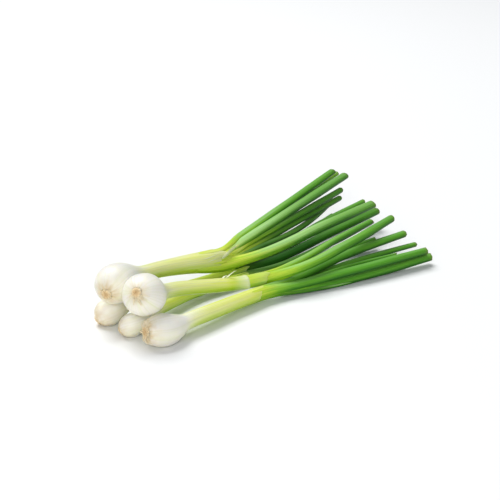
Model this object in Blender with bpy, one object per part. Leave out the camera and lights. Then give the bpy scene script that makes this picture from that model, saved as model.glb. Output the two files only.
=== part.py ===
"""A bunch of five spring onions lying on a flat surface, +Z up, in metres.

+X runs along the bunch from the roots to the cut leaf tips, and +Y to its far side. Each onion has
three pieces: the bulb with the pale sheath of its neck, the green head of leaves that stands in the
mouth of the sheath, and the trimmed root plate in the base of the bulb. Places are in millimetres
over the floor, and BUNCH_MIDDLE moves the middle of the bunch to the origin.
"""

import math
import random
from collections import namedtuple

import bmesh
import bpy
import numpy as np

MM = 0.001
UP = np.array([0.0, 0.0, 1.0])
BUNCH_MIDDLE = np.array([155.8, -2.5, 0.0])

# How finely the solids are faceted
BULB_SIDES = 18
LEAF_SIDES = 8
PLATE_SIDES = 10
STUB_SIDES = 4
STEPS_PER_LEG = 24

# The clear gap between two pieces that touch
GAP = 0.35

# The bulb and its neck
SHOULDER_POWER = 1.7
FLARE_POWER = 2.0
SHEATH_WALL = 0.9
SOCKET_DEPTH = 8.0
SOCKET_TAPER = 0.5
SKIN_STEP = 0.6

# The leaves
BLADE_WALL = 0.9
BLADE_HOLLOW = 9.0
BLADE_START = 1.5
BLADE_STRAIGHT = 3.0
BLADE_GROWTH = 30.0
BLADE_END = 0.92
SHANK_BEYOND_MOUTH = 8.0
SHANK_SIDES = 12

# The root plate and its stubs
RECESS_DEPTH = 1.4
PLATE_EDGE = 0.3
PLATE_PROUD = 0.8
PLATE_TAPER = 0.75
STUBS = 9
STUB_RADIUS = 0.65
STUB_SPREAD = 0.75
STUB_REACH = (1.2, 2.2)
GOLDEN_ANGLE = math.pi * (3 - math.sqrt(5))

BULB_WHITE = (0.86, 0.84, 0.76)
LEAF_GREEN = (0.13, 0.34, 0.06)
ROOT_TAN = (0.55, 0.36, 0.17)

# Across and over place a leaf's foot in the mouth; near, far and tip are places on its centre line
Leaf = namedtuple("Leaf", "across over foot near far tip width thick turn")
# Root_way points from the bulb's middle to its root plate; plate is the plate's radius, and base the
# radius of the flat base round it; tail draws out the root side of the bulb, 1 being round; shoulder
# is the length of the taper above the middle, in bulb radii; neck is the centre line up to the mouth;
# skin is how far short of the mouth the outer skin of the neck ends
Onion = namedtuple(
    "Onion",
    "bulb radius root_way plate base tail shoulder neck neck_radius skin mouth_radius mouth_thick"
    " turn leaves",
)

ONIONS = {
    "back_top": Onion(
        bulb=(9.8, -9.6, 33.1),
        radius=14.3,
        root_way=(-0.89, -0.44, -0.17),
        plate=3.4,
        base=5.0,
        tail=1.0,
        shoulder=2.1,
        neck=[(46, -0.5, 30.2), (80, 4.2, 25.4), (114, 2.6, 21.2)],
        neck_radius=5.8,
        skin=0,
        mouth_radius=9.2,
        mouth_thick=0.62,
        turn=66,
        leaves=[
            Leaf(5.8, 0.0, 5.2, (154, 19.6, 27), (236, 43, 35), (302.8, 64.3, 40), 6.6, 0.8, 20),
            Leaf(3.8, 0.6, 3.0, (176, 26, 25.4), (262, 57, 29.8), (315.6, 71.6, 33.8), 5.0, 0.9, 0),
            Leaf(2.6, -0.4, 6.2, (150, 14, 24.4), (232.3, 33.8, 32), (311.6, 58.1, 35.5), 8.0, 0.8, 10),
            Leaf(0.6, 0.8, 4.6, (158, 14.4, 22), (230, 31.4, 25), (301.5, 53, 25.6), 6.2, 0.8, 10),
            Leaf(-0.8, 1.0, 4.4, (160, 13.4, 18), (231.4, 32.6, 19.2), (298, 50.6, 19.6), 6.0, 0.8, 10),
            Leaf(-2.0, 1.4, 4.4, (168, 9, 18), (226.5, 27.5, 14.6), (302.5, 62.1, 14.2), 5.4, 0.8, 0),
            Leaf(-4.2, -0.2, 9.2, (146, -6.8, 19.6), (217, -4.4, 25), (287.5, 2.6, 28), 8.6, 0.85, 20),
        ],
    ),
    "front_top": Onion(
        bulb=(11.5, -40.3, 34.2),
        radius=15.0,
        root_way=(-0.76, -0.42, 0.42),
        plate=3.2,
        base=4.6,
        tail=1.0,
        shoulder=1.75,
        neck=[(51, -30.4, 25.2), (82, -31.4, 19.2), (110, -35, 15.6), (127, -38.4, 15.4)],
        neck_radius=5.3,
        skin=18,
        mouth_radius=5.3,
        mouth_thick=0.95,
        turn=0,
        leaves=[
            Leaf(1.6, 1.4, 4.4, (158, -36.2, 18.6), (219, -25, 21.6), (265.5, -17, 23), 5.8, 0.85, 10),
            Leaf(-1.4, 0.0, 5.2, (151, -48.6, 20), (207.5, -46, 25.2), (270, -33.6, 28), 7.8, 0.85, 10),
        ],
    ),
    "back_low": Onion(
        bulb=(9.9, -0.2, 9.1),
        radius=9.9,
        root_way=(-0.62, 0.5, -0.6),
        plate=3.0,
        base=5.0,
        tail=1.0,
        shoulder=2.2,
        neck=[(50, 5, 8), (100, 5.6, 5.9), (143, 4, 6)],
        neck_radius=4.4,
        skin=0,
        mouth_radius=4.8,
        mouth_thick=0.9,
        turn=0,
        leaves=[
            Leaf(0.6, 1.0, 4.6, (175, 9, 8), (243, 26, 12.5), (309, 33, 18), 6.0, 0.85, 0),
            Leaf(-1.4, 0.2, 4.6, (176, 0, 8), (235, 5, 12.4), (303, 12, 16), 8.4, 0.8, 0),
            Leaf(1.2, -1.0, 4.2, (176, 14, 4), (232, 35, 2.4), (296, 57, 2.3), 5.6, 0.9, 0),
        ],
    ),
    "middle_low": Onion(
        bulb=(9, -27, 7.8),
        radius=8.3,
        root_way=(-0.64, 0.66, -0.42),
        plate=2.4,
        base=4.4,
        tail=1.0,
        shoulder=2.4,
        neck=[(47, -17, 8.4), (80, -9, 7.4), (134, -9, 6)],
        neck_radius=4.2,
        skin=0,
        mouth_radius=4.6,
        mouth_thick=0.9,
        turn=0,
        leaves=[
            Leaf(1.2, 0.6, 4.4, (170, -9, 6), (230, -6.4, 10.2), (282, 0, 14), 6.4, 0.85, 0),
            Leaf(-1.3, 0.0, 4.4, (168, -14, 4.6), (220, -18, 6), (265, -22, 8.5), 5.6, 0.85, 0),
        ],
    ),
    "front_low": Onion(
        bulb=(16, -53.5, 10.8),
        radius=11.5,
        root_way=(-0.97, 0.2, 0.12),
        plate=3.8,
        base=7.4,
        tail=1.4,
        shoulder=1.9,
        neck=[(46, -51.8, 10.6), (82.6, -47.4, 9.2), (114.6, -45.3, 8.7)],
        neck_radius=5.7,
        skin=0,
        mouth_radius=5.3,
        mouth_thick=0.95,
        turn=0,
        leaves=[
            Leaf(0.4, 0.6, 5.4, (156, -44.6, 11.2), (210, -43, 15), (272, -46, 17.5), 7.6, 0.8, 0),
            Leaf(1.8, 0.2, 4.4, (159, -42, 6.5), (212, -43, 7), (278, -53, 9), 5.2, 0.85, 0),
            Leaf(0.2, 0.6, 2.6, (154, -47, 8), (202, -53, 10), (246, -62, 11), 2.8, 1.0, 0),
            Leaf(-1.4, 0.2, 6.4, (150, -52, 8.6), (205, -65, 11), (266, -75, 12.6), 7.4, 0.85, 0),
            Leaf(-0.4, -1.6, 4.6, (160, -52, 3.0), (214, -65, 3.6), (271, -75.2, 6.2), 8.0, 0.85, 0),
            Leaf(-1.8, -1.4, 2.6, (148, -53, 3), (175, -59, 1.6), (203, -64, 1.6), 3.0, 0.9, 0),
        ],
    ),
}


def unit(vector):
    return vector / np.linalg.norm(vector)


class Route:
    """A smooth centre line through a few points, read by the distance along it."""

    def __init__(self, points):
        points = np.array(points, float)
        knots = np.concatenate([[0], np.cumsum(np.linalg.norm(np.diff(points, axis=0), axis=1))])
        slopes = np.gradient(points, knots, axis=0)
        line = [points[0]]
        for i in range(len(points) - 1):
            leg = knots[i + 1] - knots[i]
            for t in np.linspace(0, 1, STEPS_PER_LEG + 1)[1:]:
                line.append(
                    (2 * t**3 - 3 * t**2 + 1) * points[i]
                    + (t**3 - 2 * t**2 + t) * leg * slopes[i]
                    + (3 * t**2 - 2 * t**3) * points[i + 1]
                    + (t**3 - t**2) * leg * slopes[i + 1]
                )
        self.line = np.array(line)
        steps = np.linalg.norm(np.diff(self.line, axis=0), axis=1)
        self.far = np.concatenate([[0], np.cumsum(steps)])
        self.length = self.far[-1]

    def place(self, distance):
        inside = min(max(distance, 0.0), self.length)
        point = np.array([np.interp(inside, self.far, self.line[:, axis]) for axis in range(3)])
        return point + (distance - inside) * self.way(inside)

    def way(self, distance):
        reach = 1.0
        low = max(min(distance, self.length) - reach, 0.0)
        high = min(max(distance, 0.0) + reach, self.length)
        ends = [[np.interp(s, self.far, self.line[:, axis]) for axis in range(3)] for s in (low, high)]
        return unit(np.subtract(ends[1], ends[0]))


def across_and_over(way, turn):
    """The two directions of a cross-section: along its width, and along its thickness."""
    side = unit(np.cross(UP, way))
    lift = np.cross(way, side)
    angle = math.radians(turn)
    across = math.cos(angle) * side + math.sin(angle) * lift
    over = math.cos(angle) * lift - math.sin(angle) * side
    return across, over


def swept(name, route, stations, sides, turn=0):
    """A closed solid swept along a route; each station is a distance, a radius and a thickness ratio.

    Stations that run back along the route make the wall of a hollow. What would dip below the floor
    is pressed flat on it.
    """
    mesh = bmesh.new()
    rings = []
    for distance, radius, thick in stations:
        across, over = across_and_over(route.way(distance), turn)
        middle = route.place(distance)
        ring = []
        for k in range(sides):
            angle = 2 * math.pi * (k + 0.5) / sides
            point = middle + radius * (math.cos(angle) * across + thick * math.sin(angle) * over)
            point = point - BUNCH_MIDDLE
            point[2] = max(point[2], 0.0)
            ring.append(mesh.verts.new(point * MM))
        rings.append(ring)
    for first, second in zip(rings, rings[1:]):
        for k in range(sides):
            after = (k + 1) % sides
            mesh.faces.new((first[k], first[after], second[after], second[k]))
    mesh.faces.new(rings[0])
    mesh.faces.new(rings[-1])
    bmesh.ops.recalc_face_normals(mesh, faces=mesh.faces)
    return as_object(name, mesh)


def as_object(name, mesh):
    data = bpy.data.meshes.new(name)
    mesh.to_mesh(data)
    mesh.free()
    made = bpy.data.objects.new(name, data)
    bpy.context.scene.collection.objects.link(made)
    return made


def fused(base, repeats):
    """The base with its repeats joined to it by one Boolean union on their collection."""
    group = bpy.data.collections.new(base.name + "_repeats")
    bpy.context.scene.collection.children.link(group)
    for piece in repeats:
        bpy.context.scene.collection.objects.unlink(piece)
        group.objects.link(piece)
    union = base.modifiers.new("union", "BOOLEAN")
    union.operation = "UNION"
    union.operand_type = "COLLECTION"
    union.collection = group
    union.solver = "EXACT"
    bpy.context.view_layer.objects.active = base
    bpy.ops.object.modifier_apply(modifier=union.name)
    for piece in repeats:
        bpy.data.objects.remove(piece)
    bpy.data.collections.remove(group)
    return base


def finish(made, colour, roughness):
    made.data.shade_smooth()
    made.data.set_sharp_from_angle(angle=math.radians(40))
    material = bpy.data.materials.new(made.name)
    material.use_nodes = True
    shader = material.node_tree.nodes["Principled BSDF"]
    shader.inputs["Base Color"].default_value = (*colour, 1.0)
    shader.inputs["Roughness"].default_value = roughness
    shader.inputs["Metallic"].default_value = 0.0
    made.data.materials.clear()
    made.data.materials.append(material)


def base_depth(onion):
    """How far the base of the bulb lies from its middle."""
    return onion.tail * math.sqrt(onion.radius**2 - onion.base**2)


def onion_route(onion):
    """The centre line from the base of the bulb through its middle and up the neck to the mouth."""
    base = np.array(onion.bulb) + base_depth(onion) * unit(np.array(onion.root_way))
    return Route([base, onion.bulb, *onion.neck])


def skin_end(distance, radius, thick):
    """The stations of the step where the outer skin of a neck ends."""
    return [
        (distance - 2 * SKIN_STEP, radius + SKIN_STEP, thick),
        (distance, radius + SKIN_STEP, thick),
        (distance + 0.3 * SKIN_STEP, radius, thick),
    ]


def bulb_and_neck(name, onion):
    route = onion_route(onion)
    recess = onion.plate + GAP
    depth = base_depth(onion)
    stations = [(RECESS_DEPTH, recess, 1), (0, recess, 1)]
    lowest = math.asin(onion.base / onion.radius)
    for angle in np.linspace(lowest, math.pi / 2, 7)[:-1]:
        distance = depth - onion.tail * onion.radius * math.cos(angle)
        stations.append((distance, onion.radius * math.sin(angle), 1))
    shoulder = onion.shoulder * onion.radius
    for t in np.linspace(0, 1, 9):
        swell = math.cos(t * math.pi / 2) ** SHOULDER_POWER
        radius = onion.neck_radius + (onion.radius - onion.neck_radius) * swell
        stations.append((depth + shoulder * t, radius, 1))
    start = depth + shoulder
    for t in (0.3, 0.6, 0.85, 1):
        flare = t**FLARE_POWER
        radius = onion.neck_radius + (onion.mouth_radius - onion.neck_radius) * flare
        thick = 1 + (onion.mouth_thick - 1) * flare
        stations.append((start + (route.length - start) * t, radius, thick))
    if onion.skin:
        stations[-2:-1] = skin_end(route.length - onion.skin, *stations[-2][1:])
    inner = onion.mouth_radius - SHEATH_WALL
    thick = (onion.mouth_radius * onion.mouth_thick - SHEATH_WALL) / inner
    stations.append((route.length, inner, thick))
    stations.append((route.length - SOCKET_DEPTH, inner - SOCKET_TAPER, thick))
    made = swept(name, route, stations, BULB_SIDES, onion.turn)
    finish(made, BULB_WHITE, 0.35)


def blade(name, onion, mouth, leaf):
    """One tubular leaf, from its foot in the shank to its cut and hollow end."""
    way = mouth.way(mouth.length)
    across, over = across_and_over(way, onion.turn)
    foot = mouth.place(mouth.length + BLADE_START) + leaf.across * across + leaf.over * over
    route = Route([foot, foot + BLADE_STRAIGHT * way, leaf.near, leaf.far, leaf.tip])
    full = leaf.width / 2
    end = route.length
    stations = []
    for grown in (0, 0.35, 0.7, 1):
        radius = leaf.foot / 2 + (full - leaf.foot / 2) * grown
        stations.append((BLADE_GROWTH * grown, radius, 1 + (leaf.thick - 1) * grown))
    for t in (0.25, 0.5, 0.75):
        stations.append((BLADE_GROWTH + (end - BLADE_GROWTH) * t, full, leaf.thick))
    radius = BLADE_END * full
    stations.append((end, radius, leaf.thick))
    if full * leaf.thick > 2 * BLADE_WALL:
        thick = (radius * leaf.thick - BLADE_WALL) / (radius - BLADE_WALL)
        stations.append((end, radius - BLADE_WALL, thick))
        stations.append((end - BLADE_HOLLOW, radius - BLADE_WALL, thick))
    return swept(name, route, stations, LEAF_SIDES, leaf.turn)


def head_of_leaves(name, onion):
    """The leaves on the shank that fills the mouth of the sheath."""
    mouth = onion_route(onion)
    end = mouth.length
    snug = onion.mouth_radius - SHEATH_WALL - GAP
    thick = (onion.mouth_radius * onion.mouth_thick - SHEATH_WALL - GAP) / snug
    stations = [
        (end - SOCKET_DEPTH + GAP, snug - SOCKET_TAPER, thick),
        (end, snug, thick),
        (end + 0.6 * SHANK_BEYOND_MOUTH, 0.92 * snug, thick),
        (end + SHANK_BEYOND_MOUTH, 0.6 * snug, thick),
    ]
    shank = swept(name, mouth, stations, SHANK_SIDES, onion.turn)
    blades = [
        blade(f"{name}_{number}", onion, mouth, leaf) for number, leaf in enumerate(onion.leaves)
    ]
    finish(fused(shank, blades), LEAF_GREEN, 0.4)


def root_plate(name, onion):
    """The tan root plate, set in the base of the bulb, with the stubs of the trimmed roots."""
    route = onion_route(onion)
    out = -route.way(0)
    across, over = across_and_over(out, 0)
    stations = [
        (RECESS_DEPTH - GAP, onion.plate - GAP, 1),
        (-PLATE_EDGE, onion.plate, 1),
        (-PLATE_EDGE - PLATE_PROUD, PLATE_TAPER * onion.plate, 1),
    ]
    plate = swept(name, route, stations, PLATE_SIDES)
    draw = random.Random(name)
    stubs = []
    for number in range(STUBS):
        spread = STUB_SPREAD * math.sqrt((number + 0.5) / STUBS)
        angle = number * GOLDEN_ANGLE
        radial = math.cos(angle) * across + math.sin(angle) * over
        foot = route.place(0) + spread * onion.plate * radial
        line = Route([foot, foot + draw.uniform(*STUB_REACH) * unit(out + spread * radial)])
        stations = [(0, STUB_RADIUS, 1), (line.length, PLATE_TAPER * STUB_RADIUS, 1)]
        stubs.append(swept(f"{name}_{number}", line, stations, STUB_SIDES))
    finish(fused(plate, stubs), ROOT_TAN, 0.8)


def main():
    for old in list(bpy.data.objects):
        bpy.data.objects.remove(old)
    for name, onion in ONIONS.items():
        bulb_and_neck(f"{name}_bulb_and_neck", onion)
        head_of_leaves(f"{name}_leaves", onion)
        root_plate(f"{name}_root_plate", onion)


main()
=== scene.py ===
"""The finished look of a bunch of five spring onions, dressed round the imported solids.

Each plant has three pieces, and each stands for one solid: the bulb with its sheath, the green head
of leaves, and the root plate with its trimmed roots. A piece is drawn out straight along +X, ring by
ring, shaped and grown a little uneven there, and then laid along the plant's own centre line. Sizes
are millimetres, and places are millimetres over the floor; BUNCH_MIDDLE moves the middle of the bunch
to the origin.
"""

import math
import random
from collections import namedtuple

import bpy
import numpy as np
from mathutils import Matrix, Vector, noise


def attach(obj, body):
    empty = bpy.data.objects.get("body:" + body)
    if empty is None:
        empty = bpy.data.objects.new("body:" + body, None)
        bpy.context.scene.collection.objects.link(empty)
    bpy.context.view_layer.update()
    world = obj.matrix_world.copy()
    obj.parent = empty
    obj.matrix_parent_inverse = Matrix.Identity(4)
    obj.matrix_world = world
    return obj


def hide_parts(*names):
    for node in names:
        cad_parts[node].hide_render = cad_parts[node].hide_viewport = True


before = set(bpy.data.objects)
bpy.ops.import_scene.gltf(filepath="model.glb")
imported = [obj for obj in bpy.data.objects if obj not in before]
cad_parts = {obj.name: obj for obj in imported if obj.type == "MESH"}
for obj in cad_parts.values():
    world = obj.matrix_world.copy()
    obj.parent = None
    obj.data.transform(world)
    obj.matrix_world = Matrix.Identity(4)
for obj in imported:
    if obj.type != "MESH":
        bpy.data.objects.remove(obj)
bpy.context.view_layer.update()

MM = 0.001
UP = np.array([0.0, 0.0, 1.0])
BUNCH_MIDDLE = np.array([155.8, -2.5, 0.0])

# The sizes that the solids are drawn from
GAP = 0.35
SHOULDER_POWER = 1.7
FLARE_POWER = 2.0
SOCKET_DEPTH = 8.0
RECESS_DEPTH = 1.4
BLADE_START = 1.5
BLADE_GROWTH = 30.0
BLADE_END = 0.92
SHANK_BEYOND_MOUTH = 8.0
PLATE_EDGE = 0.3
PLATE_PROUD = 0.8
GOLDEN_ANGLE = math.pi * (3 - math.sqrt(5))

# How finely the pieces are drawn
BULB_SIDES = 32
LEAF_SIDES = 16
PLATE_SIDES = 20
STRAND_SIDES = 6
STEP = 5.0
BULB_RINGS = 10
SHOULDER_RINGS = 12
FOOT_RINGS = 6
FIBRE_RINGS = 10
LINE_RESOLUTION = 32
TRACED_PLACES = 33
SMOOTH_ANGLE = math.radians(50)

# The thin edges that the solids leave thicker
SHEATH_WALL = 0.45
BLADE_WALL = 0.45
LEAF_DEPTH = 20.0

# A leaf grows inside the sheath for a while, and its foot then stands out through the sheath's wall
FOOT_LEAD = 26.0
FOOT_BURIED = 0.8
FOOT_PROUD = 1.04
FOOT_OUTWARD = 1.05
FOOT_GROWTH = 1.4
# How much of its place in the mouth the foot has at distances before the mouth
FOOT_PLACES = ((FOOT_LEAD, 0.8), (0.5 * FOOT_LEAD, 0.96), (0, FOOT_OUTWARD))
# A foot at the side of the mouth is as high as if this much of the mouth's radius were over it
LEAST_INSIDE = 3.0

# The root end of a bulb: the floor of the recess, as a share of its radius; the rings of its rim, by
# distance and how far outside the recess they lie; the bulge of the base; and the edge of the base, by
# distance and how far inside the base's radius it lies
RECESS_FLOOR = 0.6
RECESS_RIM = [(0.45, 0.05), (-0.05, 0.3)]
BASE_BULGE = 0.15
BASE_EDGE = 0.05
BASE_INSET = 0.35
# The rings of the mouth: how far before the mouth each one lies, and its share of the radius there
MOUTH_OUTSIDE = [(0.5, 0.99), (0, 0.97)]
MOUTH_INSIDE = [(0, 0.97), (1, 0.98)]
SOCKET_TAPER = 0.3
# The step where the outer skin of a neck ends: distances from its edge, and how far each ring stands out
SKIN_STEP = [(-1.2, 0.3), (-0.2, 0.35), (0, 0.3), (0.1, -0.05), (1.0, -0.1)]
SKIN_STEP_REACH = 2
# The shank: its room in the mouth, and the share of its radius at shares of the way beyond the mouth
SHANK_ROOM = 0.2
SHANK_TAPER = 0.4
SHANK_RINGS = [(0.3, 0.9), (0.8, 0.6), (1.4, 0.25)]
# A leaf narrows from this share of its length; then come the rings of its cut end, each by how far it
# lies before the end and how far inside the leaf's outline, and the narrowing of the hollow within
TAPER_FROM = 0.75
CUT_RIM = [(1.2, 0), (0.25, 0), (0, 0.08), (0, BLADE_WALL), (0.6, BLADE_WALL + 0.05)]
HOLLOW_NARROWS = 0.8

# Uneven growth: the length and fineness of slow swellings, the length of ridges, and the radius within
# which a piece stays as drawn. Each kind of piece has the share it swells by, the fineness of its ridges
# and their depth in millimetres
SWELL_LENGTH = 34
SWELL_FINENESS = 0.9
RIDGE_LENGTH = 120
MIDDLE_RADIUS = 0.05
BULB_UNEVEN = (0.03, 7, 0.25)
LEAF_UNEVEN = (0.08, 3, 0.22)
PLATE_UNEVEN = (0.14, 4, 0.5)
ONION_SEED = 3.1
LEAF_SEED = 0.37

# Across and over place a leaf's foot in the mouth; near, far and tip are places on its centre line
Leaf = namedtuple("Leaf", "across over foot near far tip width thick turn")
# Root_way points from the bulb's middle to its root plate; plate is the plate's radius, and base the
# radius of the flat base round it; tail draws out the root side of the bulb, 1 being round; shoulder
# is the length of the taper above the middle, in bulb radii; neck is the centre line up to the mouth;
# skin is how far short of the mouth the outer skin of the neck ends
Onion = namedtuple(
    "Onion",
    "bulb radius root_way plate base tail shoulder neck neck_radius skin mouth_radius mouth_thick"
    " turn leaves",
)

ONIONS = {
    "back_top": Onion(
        bulb=(9.8, -9.6, 33.1),
        radius=14.3,
        root_way=(-0.89, -0.44, -0.17),
        plate=3.4,
        base=5.0,
        tail=1.0,
        shoulder=2.1,
        neck=[(46, -0.5, 30.2), (80, 4.2, 25.4), (114, 2.6, 21.2)],
        neck_radius=5.8,
        skin=0,
        mouth_radius=9.2,
        mouth_thick=0.62,
        turn=66,
        leaves=[
            Leaf(5.8, 0.0, 5.2, (154, 19.6, 27), (236, 43, 35), (302.8, 64.3, 40), 6.6, 0.8, 20),
            Leaf(3.8, 0.6, 3.0, (176, 26, 25.4), (262, 57, 29.8), (315.6, 71.6, 33.8), 5.0, 0.9, 0),
            Leaf(2.6, -0.4, 6.2, (150, 14, 24.4), (232.3, 33.8, 32), (311.6, 58.1, 35.5), 8.0, 0.8, 10),
            Leaf(0.6, 0.8, 4.6, (158, 14.4, 22), (230, 31.4, 25), (301.5, 53, 25.6), 6.2, 0.8, 10),
            Leaf(-0.8, 1.0, 4.4, (160, 13.4, 18), (231.4, 32.6, 19.2), (298, 50.6, 19.6), 6.0, 0.8, 10),
            Leaf(-2.0, 1.4, 4.4, (168, 9, 18), (226.5, 27.5, 14.6), (302.5, 62.1, 14.2), 5.4, 0.8, 0),
            Leaf(-4.2, -0.2, 9.2, (146, -6.8, 19.6), (217, -4.4, 25), (287.5, 2.6, 28), 8.6, 0.85, 20),
        ],
    ),
    "front_top": Onion(
        bulb=(11.5, -40.3, 34.2),
        radius=15.0,
        root_way=(-0.76, -0.42, 0.42),
        plate=3.2,
        base=4.6,
        tail=1.0,
        shoulder=1.75,
        neck=[(51, -30.4, 25.2), (82, -31.4, 19.2), (110, -35, 15.6), (127, -38.4, 15.4)],
        neck_radius=5.3,
        skin=18,
        mouth_radius=5.3,
        mouth_thick=0.95,
        turn=0,
        leaves=[
            Leaf(1.6, 1.4, 4.4, (158, -36.2, 18.6), (219, -25, 21.6), (265.5, -17, 23), 5.8, 0.85, 10),
            Leaf(-1.4, 0.0, 5.2, (151, -48.6, 20), (207.5, -46, 25.2), (270, -33.6, 28), 7.8, 0.85, 10),
        ],
    ),
    "back_low": Onion(
        bulb=(9.9, -0.2, 9.1),
        radius=9.9,
        root_way=(-0.62, 0.5, -0.6),
        plate=3.0,
        base=5.0,
        tail=1.0,
        shoulder=2.2,
        neck=[(50, 5, 8), (100, 5.6, 5.9), (143, 4, 6)],
        neck_radius=4.4,
        skin=0,
        mouth_radius=4.8,
        mouth_thick=0.9,
        turn=0,
        leaves=[
            Leaf(0.6, 1.0, 4.6, (175, 9, 8), (243, 26, 12.5), (309, 33, 18), 6.0, 0.85, 0),
            Leaf(-1.4, 0.2, 4.6, (176, 0, 8), (235, 5, 12.4), (303, 12, 16), 8.4, 0.8, 0),
            Leaf(1.2, -1.0, 4.2, (176, 14, 4), (232, 35, 2.4), (296, 57, 2.3), 5.6, 0.9, 0),
        ],
    ),
    "middle_low": Onion(
        bulb=(9, -27, 7.8),
        radius=8.3,
        root_way=(-0.64, 0.66, -0.42),
        plate=2.4,
        base=4.4,
        tail=1.0,
        shoulder=2.4,
        neck=[(47, -17, 8.4), (80, -9, 7.4), (134, -9, 6)],
        neck_radius=4.2,
        skin=0,
        mouth_radius=4.6,
        mouth_thick=0.9,
        turn=0,
        leaves=[
            Leaf(1.2, 0.6, 4.4, (170, -9, 6), (230, -6.4, 10.2), (282, 0, 14), 6.4, 0.85, 0),
            Leaf(-1.3, 0.0, 4.4, (168, -14, 4.6), (220, -18, 6), (265, -22, 8.5), 5.6, 0.85, 0),
        ],
    ),
    "front_low": Onion(
        bulb=(16, -53.5, 10.8),
        radius=11.5,
        root_way=(-0.97, 0.2, 0.12),
        plate=3.8,
        base=7.4,
        tail=1.4,
        shoulder=1.9,
        neck=[(46, -51.8, 10.6), (82.6, -47.4, 9.2), (114.6, -45.3, 8.7)],
        neck_radius=5.7,
        skin=0,
        mouth_radius=5.3,
        mouth_thick=0.95,
        turn=0,
        leaves=[
            Leaf(0.4, 0.6, 5.4, (156, -44.6, 11.2), (210, -43, 15), (272, -46, 17.5), 7.6, 0.8, 0),
            Leaf(1.8, 0.2, 4.4, (159, -42, 6.5), (212, -43, 7), (278, -53, 9), 5.2, 0.85, 0),
            Leaf(0.2, 0.6, 2.6, (154, -47, 8), (202, -53, 10), (246, -62, 11), 2.8, 1.0, 0),
            Leaf(-1.4, 0.2, 6.4, (150, -52, 8.6), (205, -65, 11), (266, -75, 12.6), 7.4, 0.85, 0),
            Leaf(-0.4, -1.6, 4.6, (160, -52, 3.0), (214, -65, 3.6), (271, -75.2, 6.2), 8.0, 0.85, 0),
            Leaf(-1.8, -1.4, 2.6, (148, -53, 3), (175, -59, 1.6), (203, -64, 1.6), 3.0, 0.9, 0),
        ],
    ),
}

# How green a sheath is at distances from the root end, in millimetres: 0 is bulb white, 1 leaf green
SHEATH_GREEN = {
    "back_top": [(0, 0), (24, 0.0), (34, 0.1), (50, 0.19), (90, 0.22), (125, 0.26)],
    "front_top": [(0, 0), (24, 0.0), (34, 0.12), (50, 0.22), (95, 0.27), (108, 0.42), (130, 0.48)],
    "back_low": [(0, 0), (24, 0.02), (60, 0.32), (150, 0.5)],
    "middle_low": [(0, 0), (20, 0.02), (50, 0.3), (140, 0.5)],
    "front_low": [(0, 0), (26, 0.0), (38, 0.15), (54, 0.25), (96, 0.31), (112, 0.4), (118, 0.44)],
}
# The same for the leaves, at distances from the mouth
LEAF_GREEN = {
    "back_top": [(-26, 0.33), (0, 0.37), (20, 0.47), (45, 0.66), (80, 0.84), (130, 1.0)],
    "front_top": [(-26, 0.4), (0, 0.46), (14, 0.52), (32, 0.68), (70, 0.86), (120, 1.0)],
    "back_low": [(-26, 0.44), (0, 0.54), (20, 0.7), (60, 0.9), (110, 1.0)],
    "middle_low": [(-26, 0.44), (0, 0.54), (20, 0.7), (60, 0.9), (110, 1.0)],
    "front_low": [(-26, 0.36), (0, 0.46), (12, 0.6), (30, 0.82), (60, 0.95), (100, 1.0)],
}
# Leaves that stay another green than the rest of their plant, and how far from the mouth they do
Shift = namedtuple("Shift", "green until")
LEAF_SHIFT = {
    ("back_top", 1): Shift(-0.3, 500),
    ("back_top", 3): Shift(-0.15, 60),
    ("back_top", 4): Shift(-0.12, 45),
    ("back_top", 6): Shift(-0.06, 500),
    ("front_top", 1): Shift(-0.05, 500),
    ("back_low", 1): Shift(0.1, 500),
}
SHIFT_FADE = 60
GREEN_VARIES = 0.04
GREEN_PLACES = range(-30, 150, 10)
LEAST_GREEN = 0.3
# A highlight painted on the upper side of some leaves, in a pale wax green: how strong it is, at
# # distances from the mouth
LEAF_PALE_HIGHLIGHT = {
    ("back_top", 2): [(8, 0), (22, 0.55), (45, 0.5), (80, 0.32), (150, 0.1)],
    ("back_top", 6): [(20, 0), (45, 0.35), (80, 0.4), (120, 0.15)],
    ("front_low", 5): [(50, 0), (68, 0.5), (110, 0.8)],
}
# Painted shade on the hidden leaves deep in the bunch: how dark it is, at distances from the mouth
LEAF_PAINTED_SHADE = {
    ("back_top", 4): [(45, 0), (75, 0.4), (110, 0.1)],
    ("back_top", 5): [(10, 0), (30, 0.75), (55, 0.85), (110, 0.1)],
    ("front_low", 0): [(8, 0), (24, 0.3), (60, 0.3), (95, 0)],
    ("front_low", 1): [(8, 0), (24, 0.5), (60, 0.4), (95, 0)],
    ("front_low", 5): [(4, 0), (18, 0.5), (50, 0.5), (66, 0)],
    ("back_low", 0): [(0, 0.6), (70, 0.5), (120, 0.1)],
    ("back_low", 1): [(0, 0.9), (25, 0.97), (65, 0.9), (110, 0.2)],
    ("back_low", 2): [(0, 0.7), (60, 0.5), (110, 0.1)],
    ("middle_low", 0): [(0, 0.6), (60, 0.4), (110, 0.1)],
    ("middle_low", 1): [(0, 0.6), (60, 0.4), (110, 0.1)],
}
# How warm the dry skin is at distances from the root end: 0 is bulb white, 1 straw
WARM_SKIN = {
    "back_top": [(0, 0.9), (1.5, 0.6), (4, 0.15), (12, 0.05), (30, 0)],
    "front_top": [(0, 0.6), (1, 0.3), (3, 0.06), (30, 0)],
    "back_low": [(0, 1), (4, 0.7), (9, 0.22), (17, 0.35), (34, 0.15), (60, 0)],
    "middle_low": [(0, 1), (3, 0.5), (7, 0.15), (30, 0.06), (50, 0)],
    "front_low": [(0, 0.9), (1.5, 0.5), (4.5, 0.28), (9, 0.08), (30, 0)],
}
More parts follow.
